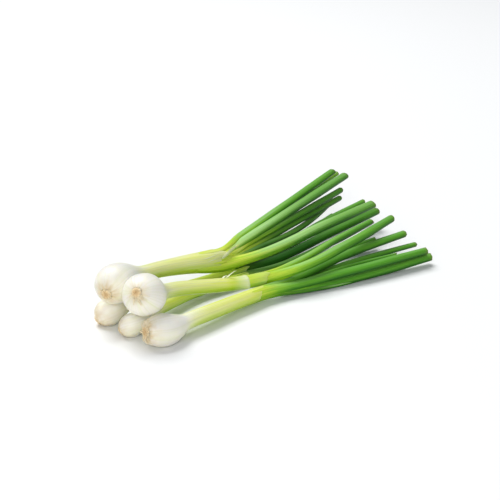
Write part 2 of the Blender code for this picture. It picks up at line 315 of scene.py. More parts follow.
# How pale the dry skin is, at distances from the mouth and from the edge of the outer skin
MOUTH_PALE = [(-16, 0), (-4, 0.1), (0, 0.3), (8, 1)]
SKIN_PALE = [(-14, 0), (-2, 1), (0, 1), (0.4, 0)]
SKIN_PALE_MOUTH = 0.2
NONE = ((0, 0), (1, 0))
# How far apart the pieces lie in the noise of their finishes, and how far a cut end's colour reaches
LAY_STEP = 400
CUT_FADE = 1.6
LEAST_RADIUS = 0.01

# How a sheath's edge is torn: how far it slants back, the side that reaches farthest in degrees with 90
# at the top, how ragged it is, and the length and side of a loose tongue of skin
Edge = namedtuple("Edge", "slant facing ragged tongue tongue_side")
MOUTH_EDGE = {
    "back_top": Edge(4.0, 165, 0.8, 8.0, 114),
    "front_top": Edge(4.0, 70, 0.8, 2.0, 120),
    "back_low": Edge(4.0, 100, 1.0, 3.0, 140),
    "middle_low": Edge(4.0, 100, 1.0, 0.0, 140),
    "front_low": Edge(6.0, 60, 0.9, 2.0, 100),
}
SKIN_EDGE = Edge(2.5, 100, 1.0, 1.5, 200)
TONGUE_WIDTH = 0.28
TONGUE_LIFT = 0.14
BROAD_TEARS = 3.1
FINE_TEARS = 9
FINE_TEARS_SEED = 5
FINE_TEARS_SHARE = 0.5
OVERSHOOT = 1.05
# How far back from an edge its tearing reaches
MOUTH_TEAR = 14
SKIN_TEAR = 8
TIP_TEAR = 10
TIP_SLANT = (0.6, 2.6)
TIP_RAGGED = 0.3
# Loose flakes and creases of dry skin: the half width and half height of each, and its line
Flake = namedtuple("Flake", "wide high points")
SKIN_FLAKES = {
    "back_top": [
        Flake(0.2, 2.2, [(113.6, -2.4, 23.9), (117.2, -2.3, 24.8), (120.4, -2, 26), (127.4, 0.8, 26.8),
                         (134.4, 3.4, 27.3)]),
        Flake(0.35, 0.4, [(97, -1.1, 26.9), (106, -0.9, 27.1), (115.6, -0.2, 27.8)]),
        Flake(0.35, 0.4, [(100, -2.3, 24.5), (106.4, -2.2, 24.7), (114.5, -1.7, 24.8)]),
    ],
    "front_top": [
        Flake(1.0, 0.14, [(91.6, -32.7, 22.2), (94.1, -32.4, 23.6), (96.6, -33.2, 25.2), (99.2, -34.8, 27),
                          (100, -35.6, 27.1)]),
        Flake(1.0, 0.14, [(88.1, -32.4, 22.6), (91.1, -31.8, 24), (93.6, -32.6, 24.4)]),
    ],
}
FLAKE_SHAPE = [(0, 0.3), (0.25, 1.0), (0.5, 0.9), (0.75, 0.7), (0.92, 0.4), (1, 0.15)]
FLAKE_GREEN = 0.14
FLAKE_PALE = 0.5


def unit(vector):
    return vector / np.linalg.norm(vector)


def smooth(t):
    t = np.clip(t, 0, 1)
    return t * t * (3 - 2 * t)


def slopes_of(points):
    """The slopes of a smooth line at its points, and the length of each leg between them."""
    legs = np.linalg.norm(np.diff(points, axis=0), axis=1)
    knots = np.concatenate([[0], np.cumsum(legs)])
    return np.gradient(points, knots, axis=0), legs


def centre_line(points, middle=BUNCH_MIDDLE):
    """A curve through the points; what is laid along it keeps its own upper side up."""
    points = np.array(points, float)
    slopes, legs = slopes_of(points)
    points = (points - middle) * MM
    reach = legs * MM / 3
    curve = bpy.data.curves.new("centre_line", "CURVE")
    curve.dimensions = "3D"
    curve.twist_mode = "Z_UP"
    curve.resolution_u = LINE_RESOLUTION
    curve.use_deform_bounds = False
    curve.use_radius = False
    spline = curve.splines.new("BEZIER")
    spline.bezier_points.add(len(points) - 1)
    for i, point in enumerate(spline.bezier_points):
        point.handle_left_type = "FREE"
        point.handle_right_type = "FREE"
        point.co = points[i]
        point.handle_left = points[i] - slopes[i] * reach[max(i - 1, 0)]
        point.handle_right = points[i] + slopes[i] * reach[min(i, len(reach) - 1)]
    line = bpy.data.objects.new("centre_line", curve)
    bpy.context.scene.collection.objects.link(line)
    return line


def traced(points):
    """Many places along the smooth line through the points, and the distance of each from its start."""
    points = np.array(points, float)
    slopes, legs = slopes_of(points)
    t = np.linspace(0, 1, TRACED_PLACES)[:, None]
    places = [points[:1]]
    for i, leg in enumerate(legs):
        first = points[i] + slopes[i] * leg / 3
        second = points[i + 1] - slopes[i + 1] * leg / 3
        leg_places = (1 - t) ** 3 * points[i] + 3 * (1 - t) ** 2 * t * first
        leg_places = leg_places + 3 * (1 - t) * t**2 * second + t**3 * points[i + 1]
        places.append(leg_places[1:])
    places = np.concatenate(places)
    steps = np.linalg.norm(np.diff(places, axis=0), axis=1)
    return places, np.concatenate([[0], np.cumsum(steps)])


def length_of(line):
    """The length of a centre line, in millimetres."""
    return line.data.splines[0].calc_length() / MM


def deselect():
    bpy.ops.object.select_all(action="DESELECT")


def choose(*pieces):
    """Selects these objects alone, the last of them active."""
    deselect()
    for piece in pieces:
        piece.select_set(True)
    bpy.context.view_layer.objects.active = pieces[-1]


def drawn(name, stations, sides):
    """A closed straight piece along +X; each station is a distance, a half width and a half height."""
    deselect()
    far, wide, high = (MM * size for size in stations[0])
    bpy.ops.mesh.primitive_circle_add(vertices=sides, radius=wide, fill_type="NGON",
                                      location=(far, 0, 0), rotation=(0, math.pi / 2, 0))
    piece = bpy.context.object
    piece.name = name
    piece.data.name = name
    bpy.ops.object.transform_apply(location=True, rotation=True, scale=True)
    bpy.ops.object.mode_set(mode="EDIT")
    bpy.ops.mesh.select_all(action="SELECT")
    bpy.ops.transform.resize(value=(1, 1, high / wide), center_override=(far, 0, 0))
    for station in stations[1:]:
        next_far, next_wide, next_high = (MM * size for size in station)
        bpy.ops.mesh.extrude_region_move(TRANSFORM_OT_translate={"value": (next_far - far, 0, 0)})
        bpy.ops.transform.resize(value=(1, next_wide / wide, next_high / high),
                                 center_override=(next_far, 0, 0))
        far, wide, high = next_far, next_wide, next_high
    bpy.ops.mesh.select_all(action="SELECT")
    bpy.ops.mesh.normals_make_consistent(inside=False)
    bpy.ops.object.mode_set(mode="OBJECT")
    return piece


def copied(piece):
    """A copy of the object with its own mesh."""
    made = piece.copy()
    made.data = piece.data.copy()
    bpy.context.scene.collection.objects.link(made)
    return made


def joined(pieces, name):
    """The pieces as one object."""
    choose(*pieces)
    if len(pieces) > 1:
        bpy.ops.object.join()
    whole = pieces[-1]
    whole.name = name
    whole.data.name = name
    return whole


def apply(piece, kind, **settings):
    """One modifier, set and applied."""
    choose(piece)
    modifier = piece.modifiers.new(kind.lower(), kind)
    for setting, value in settings.items():
        setattr(modifier, setting, value)
    bpy.ops.object.modifier_apply(modifier=modifier.name)


def smoothed(piece, levels=1):
    apply(piece, "SUBSURF", levels=levels, render_levels=levels)


def points_of(piece):
    """The piece's points as rows of x, y and z, in millimetres."""
    points = np.zeros(len(piece.data.vertices) * 3)
    piece.data.vertices.foreach_get("co", points)
    return points.reshape(-1, 3) / MM


def set_points(piece, points):
    piece.data.vertices.foreach_set("co", (points * MM).ravel())
    piece.data.update()


def twisted(piece, start, end, reach):
    """Turns the straight piece about its length, from one angle at its foot to another."""
    points = points_of(piece)
    angle = np.radians(start + (end - start) * smooth(points[:, 0] / reach))
    across = points[:, 1] * np.cos(angle) - points[:, 2] * np.sin(angle)
    points[:, 2] = points[:, 1] * np.sin(angle) + points[:, 2] * np.cos(angle)
    points[:, 1] = across
    set_points(piece, points)


def grown(piece, seed, swell, ridges, ridge_depth):
    """Uneven growth: slow swellings, and fine ridges that run lengthwise."""
    points = points_of(piece)
    for point in points:
        radius = math.hypot(point[1], point[2])
        if radius < MIDDLE_RADIUS:
            continue
        across, over = point[1] / radius, point[2] / radius
        slow = noise.noise(
            Vector((point[0] / SWELL_LENGTH + seed, SWELL_FINENESS * across, SWELL_FINENESS * over)))
        fine = noise.noise(Vector((point[0] / RIDGE_LENGTH + seed, ridges * across, ridges * over)))
        point[1:] *= 1 + swell * slow + ridge_depth * fine / radius
    set_points(piece, points)


def tears(side, fineness, seed):
    """Noise round an edge, a value for each angle of side."""
    return np.array(
        [noise.noise(Vector((fineness * math.cos(a), fineness * math.sin(a), seed))) for a in side])


def torn(piece, edge, at, reach, seed, both_sides=False):
    """Slants and frays the edge that lies at this distance; the shift fades out over the reach."""
    points = points_of(piece)
    side = np.arctan2(points[:, 2], points[:, 1])
    near = (points[:, 0] - at) / reach
    near = 1 - np.abs(near) if both_sides else 1 + near
    near = np.clip(near, 0, OVERSHOOT)
    facing = side - math.radians(edge.facing)
    shift = edge.slant * (0.5 - 0.5 * np.cos(facing))
    shift += edge.ragged * tears(side, BROAD_TEARS, seed)
    shift += FINE_TEARS_SHARE * edge.ragged * tears(side, FINE_TEARS, seed + FINE_TEARS_SEED)
    from_tongue = np.angle(np.exp(1j * (side - math.radians(edge.tongue_side))))
    tongue = np.exp(-(from_tongue / TONGUE_WIDTH) ** 2) * (edge.tongue > 0)
    points[:, 0] -= (shift - edge.tongue * tongue) * near
    points[:, 1:] *= (1 + TONGUE_LIFT * tongue * np.clip(near, 0, 1) ** 2)[:, None]
    set_points(piece, points)


def keep_lay(piece, seed, green, pale=NONE, warm=NONE, cut=None, deep=NONE):
    """Keeps for the materials where each point lies on the straight piece, how green, pale and warm it is
    there, how much painted shade it has deep in the bunch, and how near it is to a cut end. On a leaf,
    pale paints a highlight on its upper side."""
    points = points_of(piece)
    radius = np.maximum(np.hypot(points[:, 1], points[:, 2]), LEAST_RADIUS)
    lay = np.column_stack([points[:, 0] + LAY_STEP * seed, points[:, 1] / radius, points[:, 2] / radius])
    mesh = piece.data
    mesh.attributes.new("lay", "FLOAT_VECTOR", "POINT").data.foreach_set("vector", lay.ravel())
    ends = np.zeros(len(points))
    if cut is not None:
        ends = np.exp(-np.abs(np.minimum(points[:, 0] - cut, 0)) / CUT_FADE)
    for name, values in (("green", green), ("pale", pale), ("warm", warm), ("deep", deep)):
        far, amount = zip(*values)
        values = np.interp(points[:, 0], far, amount)
        mesh.attributes.new(name, "FLOAT", "POINT").data.foreach_set("value", values)
    mesh.attributes.new("cut", "FLOAT", "POINT").data.foreach_set("value", ends)


def laid(piece, line):
    """Lays the straight piece along the line, and flattens what would dip below the floor."""
    apply(piece, "CURVE", object=line, deform_axis="POS_X")
    points = points_of(piece)
    points[:, 2] = np.maximum(points[:, 2], 0)
    set_points(piece, points)


def base_depth(onion):
    """How far the base of the bulb lies from its middle."""
    return onion.tail * math.sqrt(onion.radius**2 - onion.base**2)


def onion_points(onion):
    base = np.array(onion.bulb) + base_depth(onion) * unit(np.array(onion.root_way))
    return [base, onion.bulb, *onion.neck]


def bulb_stations(onion, length):
    """The rings of a bulb and its sheath, from the floor of the root recess to inside the mouth."""
    recess = onion.plate + GAP
    depth = base_depth(onion)
    rings = [
        (RECESS_DEPTH, RECESS_FLOOR * recess, 1),
        (RECESS_DEPTH, recess, 1),
        *((far, recess + out, 1) for far, out in RECESS_RIM),
        (-BASE_BULGE, 0.5 * (recess + onion.base), 1),
        (BASE_EDGE, onion.base - BASE_INSET, 1),
    ]
    lowest = math.asin(onion.base / onion.radius)
    for angle in np.linspace(lowest, math.pi / 2, BULB_RINGS)[:-1]:
        distance = depth - onion.tail * onion.radius * math.cos(angle)
        rings.append((distance + BASE_BULGE, onion.radius * math.sin(angle), 1))
    shoulder = onion.shoulder * onion.radius
    for t in np.linspace(0, 1, SHOULDER_RINGS):
        swell = math.cos(t * math.pi / 2) ** SHOULDER_POWER
        radius = onion.neck_radius + (onion.radius - onion.neck_radius) * swell
        rings.append((depth + shoulder * t, radius, 1))
    start = depth + shoulder
    steps = int((length - start) / STEP)
    for t in np.linspace(0, 1, steps + 1)[1:]:
        flare = t**FLARE_POWER
        radius = onion.neck_radius + (onion.mouth_radius - onion.neck_radius) * flare
        rings.append((start + (length - start) * t, radius, 1 + (onion.mouth_thick - 1) * flare))
    if onion.skin:
        rings = with_outer_skin(rings, length - onion.skin)
    inner = onion.mouth_radius - SHEATH_WALL
    thick = (onion.mouth_radius * onion.mouth_thick - SHEATH_WALL) / inner
    rings[-1:] = [
        *((length - back, share * onion.mouth_radius, onion.mouth_thick) for back, share in MOUTH_OUTSIDE),
        *((length - back, share * inner, thick) for back, share in MOUTH_INSIDE),
        (length - SOCKET_DEPTH, inner - SOCKET_TAPER, thick),
    ]
    return [(far, radius, radius * thick) for far, radius, thick in rings]


def with_outer_skin(rings, end):
    """The rings again, with the outer skin of the neck ending in a small step."""
    before = [ring for ring in rings if ring[0] < end - SKIN_STEP_REACH]
    after = [ring for ring in rings if ring[0] > end + SKIN_STEP_REACH]
    radius, thick = before[-1][1:]
    step = [(end + far, radius + out, thick) for far, out in SKIN_STEP]
    return before + step + after


def bulb(name, onion, seed):
    line = centre_line(onion_points(onion))
    length = length_of(line)
    piece = drawn(f"{name}_bulb", bulb_stations(onion, length), BULB_SIDES)
    smoothed(piece)
    twisted(piece, 0, onion.turn, length)
    grown(piece, seed, *BULB_UNEVEN)
    pale = [(0, 0), *((length + far, amount) for far, amount in MOUTH_PALE)]
    if onion.skin:
        edge = length - onion.skin
        torn(piece, SKIN_EDGE, edge, SKIN_TEAR, seed, both_sides=True)
        pale = [(0, 0), *((edge + far, amount) for far, amount in SKIN_PALE), (length, SKIN_PALE_MOUTH)]
    keep_lay(piece, seed, SHEATH_GREEN[name], pale, WARM_SKIN[name], length)
    torn(piece, MOUTH_EDGE[name], length, MOUTH_TEAR, seed)
    laid(piece, line)
    bpy.data.objects.remove(line)
    flakes = []
    for number, shape in enumerate(SKIN_FLAKES.get(name, [])):
        flakes.append(flake(f"{name}_flake_{number}", shape, seed))
    piece = joined([*flakes, piece], f"{name}_bulb")
    finish(piece, SKIN, f"{name}_bulb_and_neck")
    return length


def flake(name, shape, seed):
    """A loose flake of dry skin, thin and narrowing to its end."""
    line = centre_line(shape.points)
    length = length_of(line)
    stations = [(t * length, share * shape.wide, share * shape.high) for t, share in FLAKE_SHAPE]
    piece = drawn(name, stations, STRAND_SIDES)
    smoothed(piece)
    keep_lay(piece, seed, [(0, FLAKE_GREEN)], [(0, FLAKE_PALE)])
    apply(piece, "CURVE", object=line, deform_axis="POS_X")
    bpy.data.objects.remove(line)
    return piece


def blade_stations(leaf, length, foot_high):
    """The rings of a leaf, from its foot inside the sheath to inside its cut and hollow end. Zero is
    the mouth, where the foot has its full size."""
    full = leaf.width / 2
    foot = FOOT_PROUD * leaf.foot / 2
    rings = []
    for t in np.linspace(0, 1, FOOT_RINGS)[:-1]:
        grow = FOOT_BURIED + (1 - FOOT_BURIED) * smooth(FOOT_GROWTH * t)
        rings.append(((t - 1) * FOOT_LEAD, grow * foot, grow * foot_high))
    steps = int(length / STEP)
    for far in np.linspace(0, length, steps + 1)[:-1]:
        grow = smooth(far / BLADE_GROWTH)
        end = 1 - (1 - BLADE_END) * smooth((far - TAPER_FROM * length) / ((1 - TAPER_FROM) * length))
        wide = foot + (full - foot) * grow
        high = foot_high + (full * leaf.thick - foot_high) * grow
        rings.append((far, end * wide, end * high))
    wide = BLADE_END * full
    high = wide * leaf.thick
    rings += [(length - back, wide - inset, high - inset) for back, inset in CUT_RIM]
    wide, high = HOLLOW_NARROWS * (wide - BLADE_WALL), HOLLOW_NARROWS * (high - BLADE_WALL)
    rings.append((length - LEAF_DEPTH, wide, high))
    return rings


def shank_stations(onion, length):
    """The rings of the shank, from inside the mouth to its end among the leaves."""
    snug = onion.mouth_radius - SHEATH_WALL - SHANK_ROOM
    thick = (onion.mouth_radius * onion.mouth_thick - SHEATH_WALL - SHANK_ROOM) / snug
    rings = [
        (length - SOCKET_DEPTH + GAP, snug - SHANK_TAPER, thick),
        (length - 1, snug, thick),
        *((length + far * SHANK_BEYOND_MOUTH, share * snug, thick) for far, share in SHANK_RINGS),
    ]
    return [(far, radius, radius * thick) for far, radius, thick in rings]


def foot_place(onion, leaf, places, far, at, share):
    """Where the middle of a leaf's foot lies inside the sheath, at this distance along the plant; share
    is how much of its place in the mouth it has there."""
    here = np.array([np.interp(at, far, places[:, axis]) for axis in range(3)])
    ahead = np.array([np.interp(at + 0.5, far, places[:, axis]) for axis in range(3)])
    behind = np.array([np.interp(at - 0.5, far, places[:, axis]) for axis in range(3)])
    way = unit(ahead - behind)
    side = unit(np.cross(UP, way))
    lift = np.cross(way, side)
    angle = math.radians(onion.turn * smooth(at / far[-1]))
    across = math.cos(angle) * side + math.sin(angle) * lift
    over = math.cos(angle) * lift - math.sin(angle) * side
    return here + share * (leaf.across * across + leaf.over * over)


def greens(name, onion, seed, mouth):
    """The head of leaves, one grown piece: the shank and its blades."""
    draw = random.Random(name)
    line = centre_line(onion_points(onion))
    shank = drawn(f"{name}_shank", shank_stations(onion, mouth), BULB_SIDES)
    smoothed(shank)
    twisted(shank, onion.turn, onion.turn, mouth)
    green = [(mouth + far, amount) for far, amount in LEAF_GREEN[name]]
    keep_lay(shank, seed, green)
    torn(shank, MOUTH_EDGE[name], mouth, MOUTH_TEAR, seed)
    laid(shank, line)
    bpy.data.objects.remove(line)
    places, far = traced(onion_points(onion))
    end_way = unit(places[-1] - places[-2])
    blades = []
    for number, leaf in enumerate(onion.leaves):
        foot_line = []
        for before, share in FOOT_PLACES:
            foot_line.append(foot_place(onion, leaf, places, far, far[-1] - before, share))
        foot = foot_line[-1] + BLADE_START * end_way
        foot_line[-1] = foot
        line = centre_line([*foot_line, leaf.near, leaf.far, leaf.tip])
        length = length_of(line) - FOOT_LEAD
        inside = math.sqrt(max(onion.mouth_radius**2 - leaf.across**2, LEAST_INSIDE**2))
        inside = onion.mouth_thick * inside
        foot_high = min(FOOT_PROUD * inside - leaf.over, leaf.foot)
        piece = drawn(f"{name}_blade_{number}", blade_stations(leaf, length, foot_high), LEAF_SIDES)
        smoothed(piece)
        leaf_seed = seed + LEAF_SEED * (number + 1)
        twisted(piece, onion.turn, leaf.turn, BLADE_GROWTH)
        grown(piece, leaf_seed, *LEAF_UNEVEN)
        shift = LEAF_SHIFT.get((name, number), Shift(0, 0))
        slight = draw.uniform(-GREEN_VARIES, GREEN_VARIES)
        green = []
        for at in GREEN_PLACES:
            amount = np.interp(at, *zip(*LEAF_GREEN[name]))
            kept = 1 - smooth((at - shift.until) / SHIFT_FADE)
            amount += (shift.green * kept + slight) * smooth(at / BLADE_GROWTH)
            green.append((at, max(amount, LEAST_GREEN)))
        # A leaf's pale is a highlight painted on its upper side
        pale = LEAF_PALE_HIGHLIGHT.get((name, number), NONE)
        # A leaf's deep is painted shade where it lies deep in the bunch
        deep = LEAF_PAINTED_SHADE.get((name, number), NONE)
        keep_lay(piece, leaf_seed, green, pale, cut=length, deep=deep)
        tip_edge = Edge(draw.uniform(*TIP_SLANT), draw.uniform(-180, 180), TIP_RAGGED, 0, 0)
        torn(piece, tip_edge, length, TIP_TEAR, leaf_seed)
        points = points_of(piece)
        points[:, 0] += FOOT_LEAD
        set_points(piece, points)
        laid(piece, line)
        bpy.data.objects.remove(line)
        blades.append(piece)
    whole = joined([*blades, shank], f"{name}_greens")
    finish(whole, LEAF, f"{name}_leaves")


# The trimmed roots round a plate: how many stubs, and the loose fibres, which are how many, the side
# they lie on in degrees, how widely they spread in radians, and how far they reach in base radii
ROOT_STUBS = 34
Tuft = namedtuple("Tuft", "count side spread reach")
ROOT_TUFT = {
    "back_top": Tuft(12, 120, 1.6, 1.35),
    "front_top": Tuft(34, 240, 0.5, 2.1),
    "back_low": Tuft(10, 270, 1.0, 1.4),
    "middle_low": Tuft(8, 270, 0.8, 1.4),
    "front_low": Tuft(20, 250, 1.0, 1.3),
}
# The rings of a plate: first each one's distance and how far outside the plate's radius it lies, then
# the shares of its height and of its radius
PLATE_RIM = [(0.3, 0.2), (0.1, 0.55), (-0.2, 0.35)]
PLATE_FLAT = 0.86
PLATE_FACE = [(0.75, PLATE_FLAT), (1, 0.7), (0.9, 0.45), (0.75, 0.2)]
# A stub is this thick along its length, and stands by these draws: its turn round the plate in radians,
# how far it splays, and its radius and length in millimetres
STUB_SHAPE = [(-0.3, 1), (0, 1), (0.7, 0.9), (0.95, 0.85), (1, 0.6)]
STUB_SINK = 0.6
STUB_TURN = 0.2
STUB_SPLAY = (0.5, 1.0)
STUB_THICK = (0.28, 0.5)
STUB_LENGTH = (0.5, 1.5)
# A fibre starts within the plate, swings to one side, and lies this far over the skin on its way
FIBRE_START = 0.7
FIBRE_TURN = 0.5
FIBRE_SWING = np.array([0, 0.4, 0.8, 1])
FIBRE_FOOT = 0.6
FIBRE_CLEAR = [(0.9, 1.8), (0.3, 0.9), (0.1, 0.9)]
FIBRE_THICK = (0.2, 0.36)
FIBRE_TAPER = 0.6


def roots(name, onion, seed):
    """The root plate, with the stubs of the trimmed roots and the fibres left on them."""
    draw = random.Random(name)
    line = centre_line(onion_points(onion))
    size = onion.plate
    top = -PLATE_EDGE - PLATE_PROUD
    rings = [
        (RECESS_DEPTH - GAP, size - GAP),
        *((far, size + out) for far, out in PLATE_RIM),
        *((height * top, share * size) for height, share in PLATE_FACE),
    ]
    plate = drawn(f"{name}_plate", [(far, radius, radius) for far, radius in rings], PLATE_SIDES)
    smoothed(plate, 2)
    grown(plate, seed, *PLATE_UNEVEN)
    pieces = []
    stub = drawn(f"{name}_stub", [(far, radius, radius) for far, radius in STUB_SHAPE], STRAND_SIDES)
    smoothed(stub)
    for number in range(ROOT_STUBS):
        spread = math.sqrt((number + 0.5) / ROOT_STUBS)
        angle = number * GOLDEN_ANGLE + draw.uniform(-STUB_TURN, STUB_TURN)
        radial = Vector((0, math.cos(angle), math.sin(angle)))
        way = (Vector((-1, 0, 0)) + draw.uniform(*STUB_SPLAY) * spread * radial).normalized()
        thick = draw.uniform(*STUB_THICK)
        reach = draw.uniform(*STUB_LENGTH)
        place = Vector((STUB_SINK * top, 0, 0)) + PLATE_FLAT * spread * size * radial
        turn = way.to_track_quat("X", "Z").to_matrix().to_4x4()
        size_up = Matrix.Diagonal((reach * MM, thick * MM, thick * MM, 1))
        piece = copied(stub)
        piece.data.transform(Matrix.Diagonal((1 / MM, 1 / MM, 1 / MM, 1)))
        piece.data.transform(Matrix.Translation(place * MM) @ turn @ size_up)
        pieces.append(piece)
    bpy.data.objects.remove(stub)
    for number in range(ROOT_TUFT[name].count):
        tuft = ROOT_TUFT[name]
        angle = draw.gauss(math.radians(tuft.side), tuft.spread)
        pieces.append(fibre(f"{name}_fibre_{number}", onion, angle, tuft.reach, draw))
    whole = joined([*pieces, plate], f"{name}_roots")
    keep_lay(whole, seed, NONE)
    radial = points_of(whole)
    radial = np.hypot(radial[:, 1], radial[:, 2]) / size
    whole.data.attributes.new("out", "FLOAT", "POINT").data.foreach_set("value", radial)
    laid(whole, line)
    bpy.data.objects.remove(line)
    finish(whole, ROOT, f"{name}_root_plate")


def fibre(name, onion, angle, reach, draw):
    """One thin dry root, from the plate out over the skin of the bulb, in the straight piece."""
    out = onion.base * draw.uniform(1.0, reach)
    turns = angle + draw.uniform(-FIBRE_TURN, FIBRE_TURN) * FIBRE_SWING
    start = FIBRE_START * onion.plate
    radii = np.array([start, 0.5 * (onion.plate + onion.base), 0.5 * (onion.base + out), out])
    skin = base_depth(onion) - onion.tail * np.sqrt(onion.radius**2 - np.maximum(radii, onion.base) ** 2)
    clear = np.array([FIBRE_FOOT, *(draw.uniform(*limits) for limits in FIBRE_CLEAR)])
    places = np.column_stack([skin - clear, radii * np.cos(turns), radii * np.sin(turns)])
    line = centre_line(places, middle=np.zeros(3))
    length = length_of(line)
    thick = draw.uniform(*FIBRE_THICK)
    stations = []
    for t in np.linspace(0, 1, FIBRE_RINGS):
        radius = thick * (1 - FIBRE_TAPER * t)
        stations.append((t * length, radius, radius))
    piece = drawn(name, stations, STRAND_SIDES)
    apply(piece, "CURVE", object=line, deform_axis="POS_X")
    bpy.data.objects.remove(line)
    return piece


def finish(piece, material, node):
    choose(piece)
    bpy.ops.object.shade_smooth_by_angle(angle=SMOOTH_ANGLE)
    piece.data.materials.clear()
    piece.data.materials.append(material)
    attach(piece, "root")
    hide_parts(node)


# The sockets of a mix of two colours, by their place among those of all kinds of mix
MIX_FACTOR = 0
MIX_FIRST = 6
MIX_SECOND = 7
MIX_RESULT = 2


class Finish:
    """A new material and short ways to join its nodes."""

    def __init__(self, name, roughness):
        self.material = bpy.data.materials.new(name)
        self.material.use_nodes = True
        self.tree = self.material.node_tree
        self.shader = self.tree.nodes["Principled BSDF"]
        self.shader.inputs["Roughness"].default_value = roughness

    def join(self, value, socket):
        if isinstance(value, bpy.types.NodeSocket):
            self.tree.links.new(value, socket)
        else:
            socket.default_value = value

    def kept(self, name, output="Fac"):
        """An attribute that the piece keeps."""
        made = self.tree.nodes.new("ShaderNodeAttribute")
        made.attribute_name = name
        return made.outputs[output]

    def math(self, operation, first, second=0.0):
        made = self.tree.nodes.new("ShaderNodeMath")
        made.operation = operation
        self.join(first, made.inputs[0])
        self.join(second, made.inputs[1])
        return made.outputs[0]

    def plus(self, first, second):
        return self.math("ADD", first, second)

    def times(self, first, second):
        return self.math("MULTIPLY", first, second)

    def ramp(self, value, stops):
        made = self.tree.nodes.new("ShaderNodeValToRGB")
        self.tree.links.new(value, made.inputs["Fac"])
        elements = made.color_ramp.elements
        while len(elements) < len(stops):
            elements.new(0.5)
        for element, (place, colour) in zip(elements, stops):
            element.position = place
            element.color = (*colour, 1)
        return made.outputs["Color"]

    def spread(self, value, low, high, to_low=0.0, to_high=1.0):
        """The value's range from low to high, stretched to another range and held within it."""
        made = self.tree.nodes.new("ShaderNodeMapRange")
        made.interpolation_type = "SMOOTHSTEP"
        self.tree.links.new(value, made.inputs["Value"])
        for name, number in zip(("From Min", "From Max", "To Min", "To Max"), (low, high, to_low, to_high)):
            made.inputs[name].default_value = number
        return made.outputs["Result"]

    def mix(self, factor, first, second, blend="MIX"):
        made = self.tree.nodes.new("ShaderNodeMix")
        made.data_type = "RGBA"
        made.blend_type = blend
        self.join(factor, made.inputs[MIX_FACTOR])
        for value, socket in ((first, made.inputs[MIX_FIRST]), (second, made.inputs[MIX_SECOND])):
            if isinstance(value, tuple):
                value = (*value, 1)
            self.join(value, socket)
        return made.outputs[MIX_RESULT]

    def streaks(self, along, around, detail=3.0):
        """Noise drawn out along the piece: along is how fast it changes a millimetre, around how fine
        the streaks are."""
        stretch = self.tree.nodes.new("ShaderNodeMapping")
        self.join(self.kept("lay", "Vector"), stretch.inputs["Vector"])
        stretch.inputs["Scale"].default_value = (along, around, around)
        made = self.tree.nodes.new("ShaderNodeTexNoise")
        made.inputs["Scale"].default_value = 1.0
        made.inputs["Detail"].default_value = detail
        self.tree.links.new(stretch.outputs["Vector"], made.inputs["Vector"])
        return made.outputs["Fac"]

    def bump(self, height, strength, distance):
        made = self.tree.nodes.new("ShaderNodeBump")
        made.inputs["Strength"].default_value = strength
        made.inputs["Distance"].default_value = distance
        self.tree.links.new(height, made.inputs["Height"])
        self.tree.links.new(made.outputs["Normal"], self.shader.inputs["Normal"])

    def colour(self, value):
        self.tree.links.new(value, self.shader.inputs["Base Color"])

    def sheen(self, specular):
        self.shader.inputs["Specular IOR Level"].default_value = specular

    def glow(self, weight, colours, scale):
        """Light that sinks in: how much of it, how far each of its colours goes, and their scale."""
        self.shader.inputs["Subsurface Weight"].default_value = weight
        self.shader.inputs["Subsurface Radius"].default_value = colours
        self.shader.inputs["Subsurface Scale"].default_value = scale

    def side(self, output):
        """Which way the surface faces on the straight piece: Y is across, Z is up."""
        split = self.tree.nodes.new("ShaderNodeSeparateXYZ")
        self.tree.links.new(self.kept("lay", "Vector"), split.inputs[0])
        return split.outputs[output]


PLANT_COLOURS = [
    (0.0, (0.92, 0.90, 0.83)),
    (0.1, (0.91, 0.91, 0.68)),
    (0.22, (0.90, 0.92, 0.40)),
    (0.36, (0.76, 0.85, 0.12)),
    (0.48, (0.58, 0.77, 0.06)),
    (0.62, (0.33, 0.63, 0.05)),
    (0.8, (0.18, 0.47, 0.04)),
    (1.0, (0.11, 0.37, 0.03)),
]
# The underside of a plant, by green: greener than the top, and darker with painted shade
UNDERSIDE_GREEN_AND_SHADE = [
    (0.0, (0.88, 0.85, 0.76)),
    (0.1, (0.76, 0.81, 0.42)),
    (0.22, (0.46, 0.62, 0.04)),
    (0.36, (0.36, 0.56, 0.012)),
    (0.48, (0.30, 0.52, 0.015)),
    (0.62, (0.12, 0.34, 0.006)),
    (0.8, (0.04, 0.20, 0.005)),
    (1.0, (0.018, 0.12, 0.004)),
]
ROOT_COLOURS = [
    (0.2, (0.60, 0.40, 0.20)),
    (0.4, (0.74, 0.54, 0.29)),
    (0.62, (0.80, 0.61, 0.34)),
    (0.85, (0.85, 0.71, 0.47)),
    (1.0, (0.84, 0.73, 0.50)),
]
SKIN_VEINS = [(0.38, (0.82, 0.86, 0.66)), (0.54, (1, 1, 1))]
LEAF_VEINS = [(0.38, (0.66, 0.78, 0.56)), (0.6, (1.0, 1.0, 1.0))]
STRAW = (0.70, 0.54, 0.30)
DRY_SKIN = (0.94, 0.95, 0.78)
CUT_SKIN = (0.66, 0.55, 0.30)
# A pale wax green, which on the upper side is also a painted highlight
WAX_AND_HIGHLIGHT_GREEN = (0.42, 0.72, 0.27)
CUT_LEAF = (0.22, 0.20, 0.07)
# The dark green of painted shade on leaves deep in the bunch
PAINTED_SHADE_GREEN = (0.015, 0.09, 0.008)
# The pale green of a highlight painted on the upper side of leaves
PALE_HIGHLIGHT_GREEN = (0.58, 0.83, 0.40)

# Streaks along a piece: how fast they change a millimetre, how fine they are round it, and their detail
SKIN_FINE = (0.012, 9.0)
SKIN_BROAD = (0.02, 2.2)
SKIN_BLOTCH = (0.3, 3.0)
LEAF_FINE = (0.01, 7.0)
LEAF_BROAD = (0.03, 1.6)
ROOT_FINE = (1.2, 5.0, 6.0)

